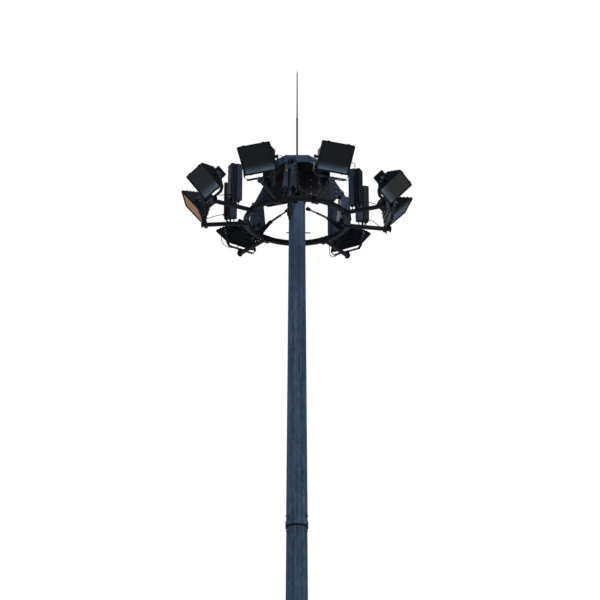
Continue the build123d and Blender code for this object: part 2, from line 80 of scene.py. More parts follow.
class Reading:
    """A value or colour that changes over a surface. Arithmetic on it adds the Math nodes."""

    def __init__(self, tree, socket):
        self.tree, self.socket = tree, socket

    def node(self, kind, settings=None, sockets=None, out=0):
        """Adds any node: its settings first, then its sockets' values or links."""
        new = self.tree.nodes.new("ShaderNode" + kind)
        for key, value in (settings or {}).items():
            setattr(new, key, value)
        for key, value in (sockets or {}).items():
            if isinstance(value, Reading):
                self.tree.links.new(value.socket, new.inputs[key])
            else:
                new.inputs[key].default_value = value
        return Reading(self.tree, new.outputs[out])

    def maths(self, operation, first, second=0.0):
        """One Math node on two values."""
        return self.node("Math", {"operation": operation}, {0: first, 1: second})

    def __add__(self, other):
        return self.maths("ADD", self, other)

    def __sub__(self, other):
        return self.maths("SUBTRACT", self, other)

    def __rsub__(self, other):
        return self.maths("SUBTRACT", other, self)

    def __mul__(self, other):
        return self.maths("MULTIPLY", self, other)

    __radd__, __rmul__ = __add__, __mul__

    def axis(self, which):
        """One coordinate of a place: 0, 1 or 2 for x, y or z."""
        return self.node("SeparateXYZ", None, {0: self}, out=which)

    def stepped(self, low, high):
        """0 below low, 1 above high, and a straight slope between them."""
        return self.node("MapRange", {"clamp": True}, {"Value": self, "From Min": low, "From Max": high})

    def mixed(self, colour, other):
        """The colour where this value is 0 and the other where it is 1."""
        return self.node("Mix", {"data_type": "RGBA"}, {0: self, 6: colour, 7: other}, out=2)

    def feeds(self, shader, socket):
        """Links this value to a socket of the main shader."""
        self.tree.links.new(self.socket, shader.inputs[socket])


def srgb(red, green, blue):
    """A colour as it reads on a screen, 0 to 255, made linear: below 0.04045 it is divided by 12.92, and
    above that 0.055 is added, the sum divided by 1.055 and raised to the power 2.4."""
    parts = np.array([red, green, blue]) / 255.0
    linear = np.where(parts <= 0.04045, parts / 12.92, ((parts + 0.055) / 1.055) ** 2.4)
    return (*(float(c) for c in linear), 1.0)


def finish(name, **fixed):
    """A material, its main shader with the fixed socket values, and the place on the piece."""
    material = bpy.data.materials.new(name)
    material.use_nodes = True
    shader = material.node_tree.nodes["Principled BSDF"]
    for key, value in fixed.items():
        shader.inputs[key.replace("_", " ")].default_value = value
    coordinates = material.node_tree.nodes.new("ShaderNodeTexCoord")
    return material, shader, Reading(material.node_tree, coordinates.outputs["Object"])


# the eye sees a white backdrop, surfaces are lit by a dimmer grey, and glossy ones mirror a blue
# sky with a low warm glow far behind the mast on the left
AMBIENT = 0.65
WHITE = (1.0, 1.0, 1.0, 1.0)
LOW_GLOW = (1.7, 0.9, 0.5, 1.0)
world = bpy.data.worlds.new("studio")
bpy.context.scene.world = world
world.use_nodes = True
sky = world.node_tree
sky.nodes.clear()
rays = sky.nodes.new("ShaderNodeLightPath")
seen = Reading(sky, rays.outputs["Is Camera Ray"])
glossy = Reading(sky, rays.outputs["Is Glossy Ray"])
through = Reading(sky, rays.outputs["Is Transmission Ray"])
backdrop = seen.maths("MAXIMUM", seen, through)
toward = Reading(sky, sky.nodes.new("ShaderNodeTexCoord").outputs["Generated"])
behind, above, beside = toward.axis(1), toward.axis(2), toward.axis(0)
dusk = behind.stepped(0.72, 0.95) * above.stepped(-0.08, 0.03) * (1.0 - above.stepped(0.3, 0.5))
dusk = dusk * (1.0 - beside.stepped(-0.22, -0.02))
mirrored = above.stepped(-0.1, 0.7).mixed(srgb(150, 168, 190), srgb(112, 140, 180))
mirrored = dusk.mixed(mirrored, LOW_GLOW)
fill = glossy.mixed(srgb(206, 209, 214), mirrored)
fill = backdrop.mixed(fill, WHITE)
brightness = backdrop * (1.0 - AMBIENT) + AMBIENT
light = seen.node("Background", None, {"Color": fill, "Strength": brightness})
world_end = sky.nodes.new("ShaderNodeOutputWorld")
sky.links.new(light.socket, world_end.inputs["Surface"])

# each sun's name, strength, tilt from overhead, turn and spread
for name, strength, tilt, turn, spread in (("key", 1.5, 50.0, 24.0, 14.0), ("rim", 0.8, 62.0, -150.0, 25.0)):
    sun_data = bpy.data.lights.new(name, "SUN")
    sun_data.energy = strength
    sun_data.angle = math.radians(spread)
    sun = bpy.data.objects.new(name, sun_data)
    sun.rotation_euler = (math.radians(tilt), 0.0, math.radians(turn))
    bpy.context.scene.collection.objects.link(sun)

FLOOR_HALF = 240.0
floor_mesh = bpy.data.meshes.new("floor")
floor_corners = [(x * FLOOR_HALF, y * FLOOR_HALF, 0) for x, y in ((-1, -1), (1, -1), (1, 1), (-1, 1))]
floor_mesh.from_pydata(floor_corners, [], [(0, 1, 2, 3)])
floor = bpy.data.objects.new("floor", floor_mesh)
bpy.context.scene.collection.objects.link(floor)
floor_mesh.materials.append(finish("pale floor", Roughness=0.9, Base_Color=(0.83, 0.83, 0.83, 1.0))[0])

# ---------------------------------------------------------------------------------------------
# The pole
# Three twelve-sided tapered tubes folded from steel plate and pushed over one another, painted a
# dark blue-grey that rain has streaked; the foot is a drilled flange with gussets and studs.

SIDES = 12
TAPER = 0.0062  # how much nearer the pole's flats come to its axis in each metre of height
# how far each section's flats stand out from the lower section's line, because it slips over the one below
STEPS = {"mast_lower_section": 0.0, "mast_middle_section": 0.006, "mast_upper_section": 0.011}
SLIP_JOINTS = ("mast_middle_section", "mast_upper_section")
DOOR_AZIMUTH = 60.0
UPWARDS = (0.0, 0.0, 1.0)
OUTWARDS = (1, 0, 0)


def noise(place, scale, detail=3.0, roughness=0.55, stretch=(1.0, 1.0, 1.0)):
    """Cloudy noise over a place; stretch above 1 packs it closer along that axis."""
    if stretch != (1.0, 1.0, 1.0):
        place = place.node("Mapping", None, {"Vector": place, "Scale": stretch})
    sockets = {"Vector": place, "Scale": scale, "Detail": detail, "Roughness": roughness}
    return place.node("TexNoise", None, sockets)


def relief(value, distance, strength, shader):
    """Raises the surface by a value, as a bump of so many metres."""
    sockets = {"Height": value, "Distance": distance, "Strength": strength}
    value.node("Bump", None, sockets).feeds(shader, "Normal")


def clad(material, *nodes):
    """Gives CAD nodes a material."""
    for node in nodes:
        mesh = frame["nodes"][node].data
        mesh.materials.clear()
        mesh.materials.append(material)


def vertices(mesh):
    """A mesh's vertices as rows of (x, y, z)."""
    numbers = np.empty(3 * len(mesh.vertices), np.float32)
    mesh.vertices.foreach_get("co", numbers)
    return numbers.astype(float).reshape(-1, 3)


def out_and_across(points, azimuth):
    """How far points lie outwards and across at an azimuth a: x sin a - y cos a, and x cos a + y sin a."""
    a = math.radians(azimuth)
    x, y = points[:, 0], points[:, 1]
    return x * math.sin(a) - y * math.cos(a), x * math.cos(a) + y * math.sin(a)


def skin(points, hollow=False):
    """Faces over a grid whose rows run anticlockwise round the way up: quads between rows and a flat cap at
    each end, or for a hollow form quads from the last row back to the first."""
    index = np.arange(points.shape[0] * points.shape[1]).reshape(points.shape[:2])
    caps = [] if hollow else [index[0][::-1].tolist(), index[-1].tolist()]
    if hollow:
        index = np.concatenate([index, index[:1]])
    ahead = np.roll(index, -1, axis=1)
    quads = np.stack([index[:-1], ahead[:-1], ahead[1:], index[1:]], axis=-1).reshape(-1, 4)
    return points.reshape(-1, 3), quads.tolist() + caps


def turned(profile, sides=20, hollow=False):
    """A lathed form: at angle a and profile point (r, z) the surface is (r cos a, r sin a, z)."""
    radius, level = np.array(profile, float).T
    angle = np.arange(sides) * 2 * math.pi / sides
    around = np.stack([np.cos(angle), np.sin(angle)], axis=-1)
    points = np.empty((len(radius), sides, 3))
    points[..., :2] = radius[:, None, None] * around
    points[..., 2] = level[:, None]
    return skin(points, hollow)


def inset(outline, by):
    """A closed outline moved inwards: each corner goes along its two edges' inward normals added up."""
    edge = np.roll(outline, -1, axis=0) - outline
    on = np.stack([-edge[:, 1], edge[:, 0]], axis=-1) / np.linalg.norm(edge, axis=1, keepdims=True)
    back = np.roll(on, 1, axis=0)
    return outline + by * (on + back) / (1 + (on * back).sum(axis=1, keepdims=True))


def stacked(rows):
    """Outlines of as many points, each at its own height, as the rows of one grid."""
    return np.array([np.column_stack([outline, np.full(len(outline), level)]) for outline, level in rows])


def slab(outline, low, high, edge=0.0015):
    """An anticlockwise outline raised from low to high, with both rims broken by a small edge."""
    outline = np.array(outline, float)
    inner = inset(outline, edge)
    return skin(stacked([(inner, low), (outline, low + edge), (outline, high - edge), (inner, high)]))


def block(size, middle=(0.0, 0.0, 0.0), edge=0.0015):
    """A rectangular bar with broken edges."""
    x, y, z = (s / 2 for s in size)
    points, faces = slab([(-x, -y), (x, -y), (x, y), (-x, y)], -z, z, edge)
    return points + middle, faces


def carried(path, radius, sides=10, closed=False):
    """A round bar along a path: at each point a circle across the way the path goes there."""
    path = np.array(path, float)
    if closed:
        way = np.roll(path, -1, axis=0) - np.roll(path, 1, axis=0)
    else:
        way = np.gradient(path, axis=0)
    way /= np.linalg.norm(way, axis=1, keepdims=True)
    spread = path.max(axis=0) - path.min(axis=0)
    aside = np.cross(way, np.eye(3)[int(np.argmin(spread))])
    aside /= np.linalg.norm(aside, axis=1, keepdims=True)
    over = np.cross(way, aside)
    angle = np.arange(sides) * 2 * math.pi / sides
    circle = np.cos(angle)[:, None] * aside[:, None] + np.sin(angle)[:, None] * over[:, None]
    points, faces = skin(path[:, None] + radius * circle)
    if closed:
        first, last = np.arange(sides), np.arange(sides) + len(points) - sides
        faces = faces[:-2] + np.stack([last, np.roll(last, -1), np.roll(first, -1), first], axis=-1).tolist()
    return points, faces


def aimed(part, place, toward=UPWARDS):
    """Sets a part down at a place with its own upward axis pointing another way."""
    up = np.array(toward, float) / np.linalg.norm(toward)
    aside = np.cross((0.0, 0.0, 1.0) if abs(up[2]) < 0.9 else (0.0, 1.0, 0.0), up)
    aside /= np.linalg.norm(aside)
    return part[0] @ np.array([aside, np.cross(up, aside), up]) + place, part[1]


def round_mast(part, azimuth):
    """Turns (out, across, up) into the mast's own axes at an azimuth a: out becomes (sin a, -cos a, 0),
    across becomes (cos a, sin a, 0) and up stays."""
    a = math.radians(azimuth)
    turn = np.array([(math.sin(a), -math.cos(a), 0), (math.cos(a), math.sin(a), 0), (0, 0, 1)])
    return part[0] @ turn, part[1]


def mounted(part, azimuth, place, toward=UPWARDS):
    """Sets a part down at a place (out, across, up) at an azimuth, pointing a way given in the same axes."""
    return round_mast(aimed(part, place, toward), azimuth)


def piece(name, parts, material, body):
    """Joins parts into one object with a material, which rides on a body when one is given."""
    starts = np.cumsum([0] + [len(points) for points, _ in parts])
    faces = [[int(i) + int(start) for i in face] for (_, part), start in zip(parts, starts) for face in part]
    mesh = bpy.data.meshes.new(name)
    mesh.from_pydata(np.concatenate([points for points, _ in parts]).tolist(), [], faces)
    mesh.shade_smooth()
    mesh.set_sharp_from_angle(angle=math.radians(38.0))
    mesh.materials.append(material)
    made = bpy.data.objects.new(name, mesh)
    bpy.context.scene.collection.objects.link(made)
    if body:
        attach(made, body)
    return made


def hexagon(across_flats, high):
    """A nut or bolt head: six sides, chamfered at the top, on a round washer. Its corners lie at half the
    distance across its flats over the cosine of 30 degrees."""
    r = across_flats / 2 / math.cos(math.pi / 6)
    washer = turned([(r * 1.22, 0), (r * 1.22, high * 0.18), (r * 0.9, high * 0.2)], 20)
    nut = turned([(r, high * 0.18), (r, high * 0.9), (r * 0.86, high)], 6)
    return np.concatenate([washer[0], nut[0]]), washer[1] + [[i + len(washer[0]) for i in f] for f in nut[1]]


pole_paint, shader, place = finish("pole paint", Metallic=0.0, IOR=1.45, Specular_IOR_Level=0.25)
streaks = noise(place, 1.0, 6.0, 0.65, (22.0, 22.0, 0.35))
runs = noise(place, 1.0, 4.0, 0.6, (55.0, 55.0, 1.1))
patches = noise(place, 1.0, 5.0, 0.65, (6.0, 6.0, 1.3))
mottle = noise(place, 1.0, 6.0, 0.72, (19.0, 19.0, 8.0))
chips = noise(place, 1.0, 3.0, 0.6, (34.0, 34.0, 19.0))
grain = noise(place, 240.0, 2.0, 0.5)
pale = streaks.stepped(0.42, 0.62) * 0.42 + mottle.stepped(0.36, 0.64) * 0.5
pale = pale + patches.stepped(0.4, 0.68) * 0.2
colour = pale.mixed(srgb(15, 29, 43), srgb(62, 88, 116))
colour = (runs.stepped(0.55, 0.66) * 0.55).mixed(colour, srgb(16, 25, 33))
colour = (patches.stepped(0.62, 0.7) * mottle.stepped(0.5, 0.6) * 0.5).mixed(colour, srgb(100, 120, 138))
colour = (chips.stepped(0.68, 0.72) * 0.85).mixed(colour, srgb(10, 17, 23))
# a rusty stain below each slip joint and below the head, and a painted brightening of the top length where
# the carriage's shade falls on the pole
JOINT_PITCH = 6.4
up_pole = place.axis(2)
past_joint = (up_pole - 0.1).maths("MODULO", up_pole - 0.1, JOINT_PITCH)
rusty = past_joint.stepped(5.3, JOINT_PITCH) * streaks.stepped(0.42, 0.6)
colour = (rusty * 0.5).mixed(colour, srgb(46, 38, 34))
# painted light: the top length is lightened against the shade that the carriage casts there
colour = (up_pole.stepped(16.6, 18.2) * 0.3).mixed(colour, srgb(78, 102, 128))
colour.feeds(shader, "Base Color")
(0.45 + streaks * 0.3).feeds(shader, "Roughness")
relief(grain * 0.4 + runs + patches, 0.0012, 0.5, shader)
clad(pole_paint, *STEPS, "door_frame", "door_leaf")

zinc, shader, place = finish("galvanised steel", Metallic=0.1, Specular_IOR_Level=0.2)
spangle = place.node("TexVoronoi", None, {"Vector": place, "Scale": 45.0})
bloom = noise(place, 9.0, 4.0)
dirt = noise(place, 1.0, 5.0, 0.65, (9.0, 9.0, 2.5))
colour = (spangle * 0.4 + bloom * 0.6).mixed(srgb(30, 38, 50), srgb(64, 78, 100))
colour = (dirt.stepped(0.47, 0.66) * 0.75).mixed(colour, srgb(16, 19, 25))
colour.feeds(shader, "Base Color")
(0.42 + bloom * 0.3).feeds(shader, "Roughness")
relief(bloom + spangle * 0.3, 0.0008, 0.3, shader)
clad(zinc, "base_flange", "base_gussets", "docking_guides", "docking_posts")

bright, shader, place = finish("worn bolt heads", Metallic=0.75)
wear = noise(place, 60.0, 3.0)
wear.mixed(srgb(70, 72, 76), srgb(138, 142, 150)).feeds(shader, "Base Color")
(0.3 + wear * 0.3).feeds(shader, "Roughness")
relief(wear, 0.0004, 0.4, shader)

# anchor studs with a thread cut in them, each with a nut and washer
ANCHORS, STUD_R, THREAD_DEPTH, HALF_PITCH = 12, 0.0135, 0.0015, 0.0019
flange_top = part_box("base_flange")[1][2]
bolt_circle = frame["record"]["mounts"][1]["dims"]["pcd_mm"] / 2000.0
thread = [(STUD_R + THREAD_DEPTH * (i % 2), 0.028 + HALF_PITCH * i) for i in range(22)]
nut, stud = hexagon(0.046, 0.03), turned(thread + [(0.011, 0.0715)], 12)
studs = []
for i in range(ANCHORS):
    azimuth = (i + 0.5) * 360.0 / ANCHORS
    studs += [mounted(part, azimuth, (bolt_circle, 0, flange_top)) for part in (nut, stud)]
piece("anchor_studs", studs, bright, "mast")

# welds: a rippled fillet round the pole's foot, and the long seam of each folded section
FOOT_BEAD, SEAM_BEAD, SEAM_AZIMUTH, BEAD_POINTS = 0.009, 0.004, 165.0, 360
# a seam starts above its section's lower end and stops below its upper end, the last one under the trunk
SEAM_ABOVE, SEAM_BELOW, LAST_SEAM_TOP = 0.085, 0.65, 18.9
RIPPLE, RIPPLE_TURN = 0.0006, 700.0  # its size, and its angle in radians in each metre
(pole_left, _, pole_foot), (pole_right, _, _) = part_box("mast_lower_section")
foot_flat = (pole_right - pole_left) / 2
half_side = math.radians(180.0 / SIDES)


def pole_flat(section, level):
    """The distance of a section's flats from the axis: the foot's, less the taper times the height above
    the foot, plus the section's step outwards."""
    return foot_flat - TAPER * (level - pole_foot) + STEPS[section]


# round the foot the distance is the flats' one over the cosine of the angle from the nearest flat's middle
turn = np.linspace(0, 2 * math.pi, BEAD_POINTS + 1)[:-1]
reach = foot_flat / np.cos((turn + half_side) % math.radians(360.0 / SIDES) - half_side)
around_foot = [reach * np.cos(turn), reach * np.sin(turn), np.full(BEAD_POINTS, flange_top + 0.003)]
beads = [carried(np.stack(around_foot, axis=-1), FOOT_BEAD, 8, closed=True)]
for section in STEPS:
    low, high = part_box(section)
    last = LAST_SEAM_TOP if section == "mast_upper_section" else high[2] - SEAM_BELOW
    level = np.linspace(low[2] + SEAM_ABOVE, last, 260)
    ripple = RIPPLE * np.sin(level * RIPPLE_TURN)
    line = np.stack([pole_flat(section, level) + 0.0005 + ripple, 0.02 + ripple, level], axis=-1)
    beads.append(round_mast(carried(line, SEAM_BEAD, 6), SEAM_AZIMUTH))
piece("weld_beads", beads, pole_paint, "mast")

# a dark bead of mastic closes the mouth of each slip joint, and also stands as the painted shadow under the
# upper section's lower edge
MASTIC_AND_SHADOW_THICK = 0.0085
mastic_and_shadow, shader, place = finish("joint mastic", Roughness=0.8, Specular_IOR_Level=0.15)
noise(place, 70.0).mixed(srgb(7, 9, 11), srgb(20, 24, 28)).feeds(shader, "Base Color")
relief(noise(place, 90.0), 0.001, 0.5, shader)
corner_at = (np.arange(SIDES) + 0.5) * math.radians(360.0 / SIDES)
twelve_sided = np.column_stack([np.cos(corner_at), np.sin(corner_at)]) / math.cos(half_side)
mouths = [(section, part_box(section)[0][2]) for section in SLIP_JOINTS]
beads = []
# painted shadow: a near-black ring just under each joint's mouth
for section, mouth in mouths:
    outer = pole_flat(section, mouth) + MASTIC_AND_SHADOW_THICK
    beads.append(slab(twelve_sided * outer, mouth - 0.03, mouth - 0.0005, 0.003))
piece("joint_mastic_and_shadow", beads, mastic_and_shadow, "mast")

# jacking lugs above and below each slip joint, left from pulling the sections together
LUG_OUT, LUG_WIDE, LUG_HIGH = 0.024, 0.05, 0.036
lugs = []
for section, mouth in mouths:
    for azimuth in (60.0, 180.0, 300.0):
        for up, out in ((0.16, 0.0), (-0.1, -0.006)):
            face = pole_flat(section, mouth) + out - TAPER * up + 0.009
            lug = block((LUG_OUT, LUG_WIDE, LUG_HIGH), (face, 0, mouth + up), 0.004)
            lugs.append(round_mast(lug, azimuth))
piece("jacking_lugs", lugs, pole_paint, "mast")

# the door's hinges, triangular locks and drip rail, and the earth boss below it
LOCK_AT, HINGE_AT, HINGE_APART = 0.09, -0.124, 0.33
door_low, door_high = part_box("door_leaf")
door_out = out_and_across(vertices(frame["nodes"]["door_leaf"].data), DOOR_AZIMUTH)[0].max()
door_mid, door_tall = (door_low[2] + door_high[2]) / 2, door_high[2] - door_low[2]
knuckle = [(0.006, -0.045), (0.009, -0.043), (0.009, -0.0155), (0.008, -0.0145), (0.009, -0.0135)]
knuckle = turned(knuckle + [(r, -z) for r, z in knuckle[::-1]], 16)
lock = turned([(0.021, 0), (0.021, 0.004), (0.018, 0.006), (0.012, 0.006), (0.012, 0.001)], 24)
key_pin = turned([(0.008, 0.0), (0.008, 0.009)], 3)
fittings = []
for up in (door_mid - HINGE_APART, door_mid + HINGE_APART):
    fittings.append(aimed(knuckle, (door_out + 0.004, HINGE_AT, up)))
    fittings.append(block((0.005, 0.05, 0.07), (door_out + 0.0025, -0.1, up)))
    fittings.append(aimed(lock, (door_out, LOCK_AT, up), OUTWARDS))
    fittings.append(aimed(key_pin, (door_out, LOCK_AT, up), OUTWARDS))
fittings.append(block((0.02, 0.16, 0.012), (door_out + 0.006, 0, door_mid + door_tall / 2 - 0.02), 0.004))
piece("door_fittings", [round_mast(part, DOOR_AZIMUTH) for part in fittings], bright, "mast")

BOSS_UP, BOSS_HIGH = 0.45, 0.024
boss_r = foot_flat - TAPER * 0.42
boss = turned([(0.03, -0.01), (0.03, 0.02), (0.026, BOSS_HIGH)], 24)
earth = [mounted(boss, DOOR_AZIMUTH, (boss_r, 0, BOSS_UP), OUTWARDS)]
earth.append(mounted(hexagon(0.024, 0.014), DOOR_AZIMUTH, (boss_r + BOSS_HIGH, 0, BOSS_UP), OUTWARDS))
piece("earth_boss", earth, bright, "mast")

# ---------------------------------------------------------------------------------------------
# The fixed head
# A dark trunk over the top of the pole carries three deep folded arms with a sheave in each, the
# flared guides that centre the carriage, and an eight-sided sheet hood with a lightning rod.

hood_paint, shader, place = finish("hood paint", Metallic=0.0, Specular_IOR_Level=0.2)
cloud = noise(place, 5.0, 4.0)
streak = noise(place, 1.0, 4.0, 0.6, (18.0, 18.0, 3.0))
colour = cloud.mixed(srgb(30, 43, 60), srgb(56, 74, 100))
colour = (streak.stepped(0.52, 0.7) * 0.6).mixed(colour, srgb(38, 46, 62))
colour.feeds(shader, "Base Color")
(0.4 + cloud * 0.3).feeds(shader, "Roughness")
relief(cloud, 0.002, 0.3, shader)
clad(hood_paint, "hood")

# the arms are painted a warm near-black towards the trunk: painted shade under the hood
arm_sheet, shader, place = finish("head arm sheet", Metallic=0.0, Specular_IOR_Level=0.15)
cloud = noise(place, 7.0, 4.0)
wash = noise(place, 1.0, 5.0, 0.65, (14.0, 14.0, 3.0))
colour = cloud.mixed(srgb(26, 33, 44), srgb(48, 60, 80))
colour = (wash.stepped(0.46, 0.64) * 0.75).mixed(colour, srgb(13, 15, 19))
level_place = place.node("Mapping", None, {"Vector": place, "Scale": (1.0, 1.0, 0.0)})
from_axis = place.node("VectorMath", {"operation": "LENGTH"}, {0: level_place}, out=1)
# painted shade: a darker, browner colour within about 0.6 to 0.76 m of the mast's axis
painted_shade_near_trunk = 1.0 - (from_axis + wash * 0.12).stepped(0.6, 0.76)
colour = (painted_shade_near_trunk * 0.9).mixed(colour, cloud.mixed(srgb(17, 15, 16), srgb(36, 32, 33)))
colour.feeds(shader, "Base Color")
(0.45 + cloud * 0.3).feeds(shader, "Roughness")
relief(cloud + wash, 0.001, 0.35, shader)
clad(arm_sheet, "head_arms")

# painted shade: the trunk, the soffit and the sheaves are a warm near-black that stands in for the shade
# under the hood; the rust patches on it are stains
trunk_steel_and_shade, shader, place = finish("dark trunk steel and painted shade", Metallic=0.0, Specular_IOR_Level=0.15)
cloud = noise(place, 9.0, 5.0)
rust = noise(place, 26.0, 4.0, 0.7)
colour = cloud.mixed(srgb(11, 10, 11), srgb(26, 23, 22))
colour = (rust.stepped(0.6, 0.75) * 0.6).mixed(colour, srgb(44, 32, 26))
colour.feeds(shader, "Base Color")
(0.6 + cloud * 0.25).feeds(shader, "Roughness")
relief(cloud + rust * 0.4, 0.001, 0.5, shader)
clad(trunk_steel_and_shade, "head_trunk", "hood_soffit", "rope_sheaves")

rod_steel, shader, place = finish("rod steel", Metallic=0.0, Specular_IOR_Level=0.08)
cloud = noise(place, 1.0, 4.0, 0.6, (40.0, 40.0, 8.0))
cloud.mixed(srgb(5, 6, 8), srgb(17, 20, 26)).feeds(shader, "Base Color")
(0.6 + cloud * 0.25).feeds(shader, "Roughness")
relief(cloud, 0.0006, 0.3, shader)
clad(rod_steel, "lightning_rod", "stay_bar")

# folded ridges over the hood's eight seams, and four rivets on each side of its rim
HOOD_SIDES, HOOD_RIM, SEAM_R = 8, 0.15, 0.006
hood_low, hood_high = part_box("hood")
side_share = math.cos(math.radians(180.0 / HOOD_SIDES))  # across the flats over across the corners
rim_r = (hood_high[0] - hood_low[0]) / 2 / side_share - 0.018
rim_z, crown_z = hood_low[2] + HOOD_RIM, hood_high[2]
ridge = [(rim_r - 0.001, 0, rim_z - 0.1), (rim_r - 0.001, 0, rim_z - 0.001)]
ridge += [(rim_r - 0.01, 0, rim_z + 0.005), (0.075, 0, crown_z + 0.0015)]
dome = turned([(0.009, 0), (0.0085, 0.003), (0.0055, 0.0055), (0.001, 0.006)], 12)
seams, rivets = [], []
for k in range(HOOD_SIDES):
    azimuth = 360.0 / HOOD_SIDES * k
    seams.append(round_mast(carried(ridge, SEAM_R, 8), 180.0 / HOOD_SIDES + azimuth))
    for across in (-0.13, -0.045, 0.045, 0.13):
        at = (rim_r * side_share - 0.001, across, hood_low[2] + HOOD_RIM / 2)
        rivets.append(mounted(dome, azimuth, at, OUTWARDS))
piece("hood_seams", seams, hood_paint, "mast")
piece("hood_rivets", rivets, hood_paint, "mast")

# a clamp with three set screws at the rod's foot
NECK_R = 0.034
cone = [(0.075, -0.006), (0.07, 0.012), (0.036, 0.02), (NECK_R, 0.055), (0.028, 0.06)]
clamp = [turned([(r, crown_z + up) for r, up in cone], 32)]
for azimuth in (-30.0, 90.0, 210.0):
    clamp.append(mounted(hexagon(0.017, 0.01), azimuth, (NECK_R, 0, crown_z + 0.038), OUTWARDS))
piece("rod_clamp", clamp, bright, "mast")

# straps and bolts on the head arms, and sheave pins; the levels are heights above the ground
STRAP_OUTLINE = [(0.712, 19.15), (0.744, 19.175), (0.744, 19.468), (0.712, 19.508)]
STRAP_BOLTS_OUT, STRAP_BOLT_LEVELS = 0.728, (19.2, 19.29, 19.38, 19.45)
ROOT_BOLTS_OUT, ROOT_BOLT_LEVELS = 0.24, (19.16, 19.3, 19.44)
HEAD_AZIMUTHS = (-8.0, 112.0, -128.0)
RING_R, RING_TUBE_R = 0.91, 0.05
SHEAVE_R, SHEAVE_UP = 0.075, 0.708
ARM_HALF, STRAP_THICK = 0.07, 0.008
ring_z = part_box("carriage_ring")[0][2] + RING_TUBE_R
sheave_z = ring_z + SHEAVE_UP
plate, plate_faces = slab(STRAP_OUTLINE, 0.0, STRAP_THICK)
sheave_pin = turned([(0.021, 0), (0.021, 0.01), (0.013, 0.011), (0.013, 0.022), (0.01, 0.025)], 20)
straps, pins = [], []
for azimuth in HEAD_AZIMUTHS:
    for side in (-1, 1):
        sideways, face = (0, side, 0), side * ARM_HALF
        laid = np.stack([plate[:, 0], face + side * plate[:, 2], plate[:, 1]], axis=-1)
        laid_faces = plate_faces if side < 0 else [f[::-1] for f in plate_faces]
        straps.append(round_mast((laid, laid_faces), azimuth))
        for up in STRAP_BOLT_LEVELS:
            at = (STRAP_BOLTS_OUT, face + side * STRAP_THICK, up)
            pins.append(mounted(hexagon(0.019, 0.012), azimuth, at, sideways))
        for up in ROOT_BOLT_LEVELS:
            pins.append(mounted(hexagon(0.024, 0.015), azimuth, (ROOT_BOLTS_OUT, face, up), sideways))
        pins.append(mounted(sheave_pin, azimuth, (RING_R - SHEAVE_R, face, sheave_z), sideways))
piece("arm_straps", straps, arm_sheet, "mast")
piece("head_bolts", pins, bright, "mast")

# a red flag over a yellow one on the outer face of each docking guide, which leans in as it rises
GUIDE_LOW, GUIDE_HIGH, GUIDE_LEAN = 18.75, 0.474, 0.025
FLAGS = (
    ("red_flags", 19.185, -0.038, srgb(118, 30, 34)),
    ("yellow_flags", 19.115, -0.041, srgb(176, 118, 52)),
)
for name, up, across, shade in FLAGS:
    out = RING_R + 0.1 - GUIDE_LEAN * (up - GUIDE_LOW) / GUIDE_HIGH
    flag = block((0.005, 0.02, 0.05), (out + 0.003, across, up), 0.001)
    enamel, shader, place = finish(name.replace("_", " "), Roughness=0.45)
    faded = noise(place, 40.0, 3.0)
    (faded * 0.6).mixed(shade, srgb(70, 52, 44)).feeds(shader, "Base Color")
    relief(faded, 0.0005, 0.3, shader)
    piece(name, [round_mast(flag, azimuth) for azimuth in HEAD_AZIMUTHS], enamel, "mast")

# six bolts that pin the trunk to the top of the pole
trunk_low, trunk_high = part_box("head_trunk")
trunk_bolt_at = ((trunk_high[0] - trunk_low[0]) / 2, 0, trunk_low[2] + 0.04)
bolts = [mounted(hexagon(0.019, 0.012), 60.0 * k + 45.0, trunk_bolt_at, OUTWARDS) for k in range(6)]
piece("trunk_bolts", bolts, bright, "mast")

# ---------------------------------------------------------------------------------------------
# The suspension ropes
# Six-strand wire ropes over the sheaves: the fixed part wraps the sheave and runs in to the trunk,
# and the hanging part, swaged to a docking post, pays out as the carriage goes down.

ROPE_R = 0.005
wire, shader, place = finish("greased wire rope", Metallic=0.4)
lay = noise(place, 300.0, 2.0)
lay.mixed(srgb(32, 32, 35), srgb(74, 74, 78)).feeds(shader, "Base Color")
(0.4 + lay * 0.2).feeds(shader, "Roughness")
relief(lay, 0.001, 0.5, shader)
clad(wire, "suspension_ropes")

# over the sheave the rope is a quarter circle about the sheave's pin
wrap = np.linspace(0, math.pi / 2, 16)
quarter = [RING_R - SHEAVE_R + SHEAVE_R * np.cos(wrap), 0 * wrap, sheave_z + SHEAVE_R * np.sin(wrap)]
run_in = [(0.7, 0, sheave_z + SHEAVE_R + 0.0005), (0.17, 0, sheave_z + SHEAVE_R)]
over_sheave = carried(np.concatenate([np.stack(quarter, axis=-1), run_in]), ROPE_R, 10)
post_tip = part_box("docking_posts")[1][2]
hanging = carried([(RING_R, 0, post_tip + 0.001), (RING_R, 0, sheave_z)], ROPE_R, 10)
sleeve = [(0.007, -0.004), (0.013, -0.004), (0.013, 0.03), (0.011, 0.045), (0.0055, 0.062)]
swage = turned([(r, post_tip + up) for r, up in sleeve], 16)
swage = (swage[0] + (RING_R, 0, 0), swage[1])
over, swages, ropes = ([round_mast(part, a) for a in HEAD_AZIMUTHS] for part in (over_sheave, swage, hanging))
piece("rope_over_sheaves", over, wire, "mast")
piece("rope_swages", swages, bright, "carriage")
hanging = piece("hanging_ropes", ropes, wire, None)
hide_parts("suspension_ropes")
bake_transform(hanging)

# ---------------------------------------------------------------------------------------------
# The carriage
# A bent steel tube ring with eight lamp arms clamped to it, painted near-black, with a yoke of
# flat bar at the end of each arm; posts on the ring rise into the head's guides.

